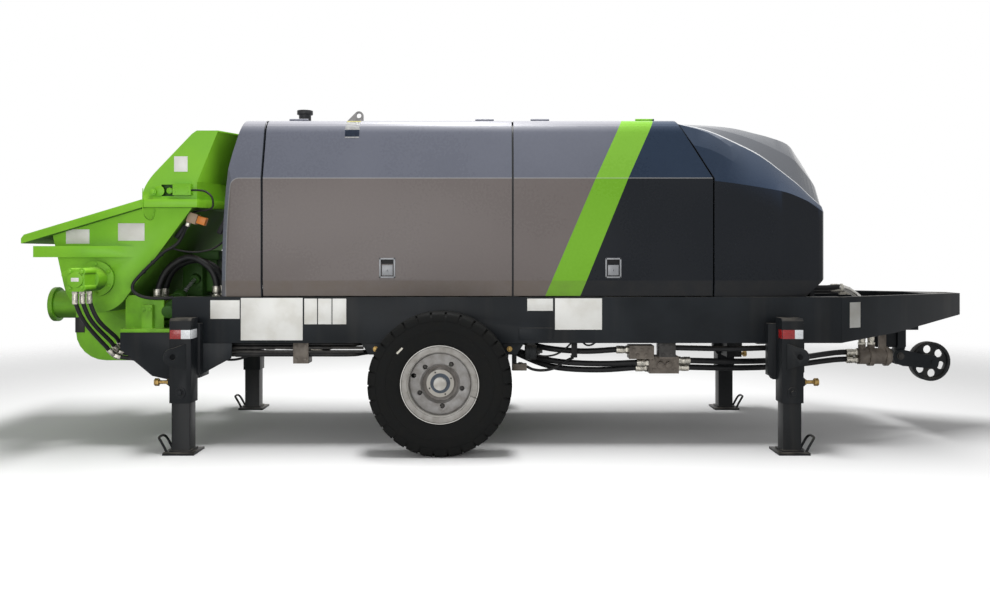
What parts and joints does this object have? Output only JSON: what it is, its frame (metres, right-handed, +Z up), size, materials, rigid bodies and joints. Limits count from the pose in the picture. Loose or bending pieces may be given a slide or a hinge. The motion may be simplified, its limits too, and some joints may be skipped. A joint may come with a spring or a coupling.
{
  "type": "trailer concrete pump",
  "caption": "Towed concrete pump on one axle: hood over engine and pumping unit, open hopper with agitator and grate at the rear, telescopic legs, drawbar with guide wheel.",
  "frame": {"origin": "on the ground under the middle of the overall length, in the centre plane", "axes": "+X forwards along the drawbar, +Y to the machine's left, +Z up"},
  "size_m": [6.28, 2, 2.166],
  "materials": {
    "frame_paint": "satin charcoal paint",
    "hood_grey": "gloss grey paint",
    "hood_navy": "gloss dark blue paint",
    "hopper_green": "gloss bright green paint",
    "inner_steel": "satin dark grey paint",
    "black_trim": "matt black",
    "worn_steel": "worn bare steel",
    "cylinder_steel": "grey steel",
    "engine_iron": "dull cast iron",
    "valve_paint": "satin taupe paint",
    "hose_rubber": "black rubber",
    "tyre": "black tyre rubber",
    "rim_paint": "satin silver grey paint",
    "spring_steel": "black paint on spring steel"
  },
  "bodies": {
    "frame": {"side_beam_right": "frame_paint", "side_beam_left": "frame_paint", "rear_plates": "frame_paint", "cross_members": "frame_paint", "drawbar": "frame_paint", "tow_eye": "frame_paint", "leg_sleeve_rear_right": "frame_paint", "leg_sleeve_rear_left": "frame_paint", "leg_sleeve_front_right": "frame_paint", "leg_sleeve_front_left": "frame_paint", "axle": "frame_paint", "leaf_springs": "spring_steel", "spring_hangers": "frame_paint", "hood_rear": "hood_grey", "hood_roof": "hood_grey", "hood_arch": "inner_steel", "nose": "hood_navy", "nose_grille": "black_trim", "roof_fittings": "black_trim", "engine": "engine_iron", "hydraulic_tank": "inner_steel", "delivery_cylinders": "cylinder_steel", "water_box": "hopper_green", "main_cylinders": "cylinder_steel", "hopper_shell": "hopper_green", "hopper_base": "hopper_green", "valve_box": "hopper_green", "outlet_pipe": "hopper_green", "agitator_drive": "hopper_green", "splash_shield": "hopper_green", "swing_cylinders": "hopper_green", "valve_blocks": "valve_paint", "hoses_rear": "hose_rubber", "hoses_frame": "hose_rubber", "guide_bracket": "frame_paint"},
    "wheel_right": {"tyre_right": "tyre", "rim_right": "rim_paint"},
    "wheel_left": {"tyre_left": "tyre", "rim_left": "rim_paint"},
    "leg_rear_right": {"leg_rear_right": "frame_paint"},
    "leg_rear_left": {"leg_rear_left": "frame_paint"},
    "leg_front_right": {"leg_front_right": "frame_paint"},
    "leg_front_left": {"leg_front_left": "frame_paint"},
    "door_rear_right": {"door_rear_right": "hood_grey"},
    "door_front_right": {"door_front_right": "hood_grey"},
    "door_rear_left": {"door_rear_left": "hood_grey"},
    "door_front_left": {"door_front_left": "hood_grey"},
    "hopper_grate": {"grate": "hopper_green"},
    "agitator": {"agitator": "worn_steel"},
    "guide_arm": {"guide_arm": "frame_paint"},
    "guide_wheel": {"guide_wheel": "frame_paint"}
  },
  "joints": [
    {"name": "wheel_right_spin", "type": "hinge", "parent": "frame", "child": "wheel_right", "pos_m": [-0.391, -0.8825, 0.4325], "axis": [0, 1, 0], "continuous": true},
    {"name": "wheel_left_spin", "type": "hinge", "parent": "frame", "child": "wheel_left", "pos_m": [-0.391, 0.8825, 0.4325], "axis": [0, 1, 0], "continuous": true},
    {"name": "leg_rear_right_slide", "type": "slide", "parent": "frame", "child": "leg_rear_right", "axis": [0, 0, 1], "range_m": [0, 0.24]},
    {"name": "leg_rear_left_slide", "type": "slide", "parent": "frame", "child": "leg_rear_left", "axis": [0, 0, 1], "range_m": [0, 0.24]},
    {"name": "leg_front_right_slide", "type": "slide", "parent": "frame", "child": "leg_front_right", "axis": [0, 0, 1], "range_m": [0, 0.24]},
    {"name": "leg_front_left_slide", "type": "slide", "parent": "frame", "child": "leg_front_left", "axis": [0, 0, 1], "range_m": [0, 0.24]},
    {"name": "door_rear_right_hinge", "type": "hinge", "parent": "frame", "child": "door_rear_right", "pos_m": [-0.7345, -0.45, 2.08], "axis": [-1, 0, 0], "range_deg": [0, 75]},
    {"name": "door_front_right_hinge", "type": "hinge", "parent": "frame", "child": "door_front_right", "pos_m": [0.5695, -0.45, 2.08], "axis": [-1, 0, 0], "range_deg": [0, 75]},
    {"name": "door_rear_left_hinge", "type": "hinge", "parent": "frame", "child": "door_rear_left", "pos_m": [-0.7345, 0.45, 2.08], "axis": [1, 0, 0], "range_deg": [0, 75]},
    {"name": "door_front_left_hinge", "type": "hinge", "parent": "frame", "child": "door_front_left", "pos_m": [0.5695, 0.45, 2.08], "axis": [1, 0, 0], "range_deg": [0, 75]},
    {"name": "grate_hinge", "type": "hinge", "parent": "frame", "child": "hopper_grate", "pos_m": [-2.215, 0, 1.6], "axis": [0, 1, 0], "range_deg": [0, 75]},
    {"name": "agitator_spin", "type": "hinge", "parent": "frame", "child": "agitator", "pos_m": [-2.569, 0, 1.055], "axis": [0, 1, 0], "continuous": true},
    {"name": "guide_arm_hinge", "type": "hinge", "parent": "frame", "child": "guide_arm", "pos_m": [2.742, 0, 0.505], "axis": [0, 1, 0], "range_deg": [0, 70]},
    {"name": "guide_wheel_spin", "type": "hinge", "parent": "guide_arm", "child": "guide_wheel", "pos_m": [2.97, 0, 0.463], "axis": [0, 1, 0], "continuous": true}
  ]
}
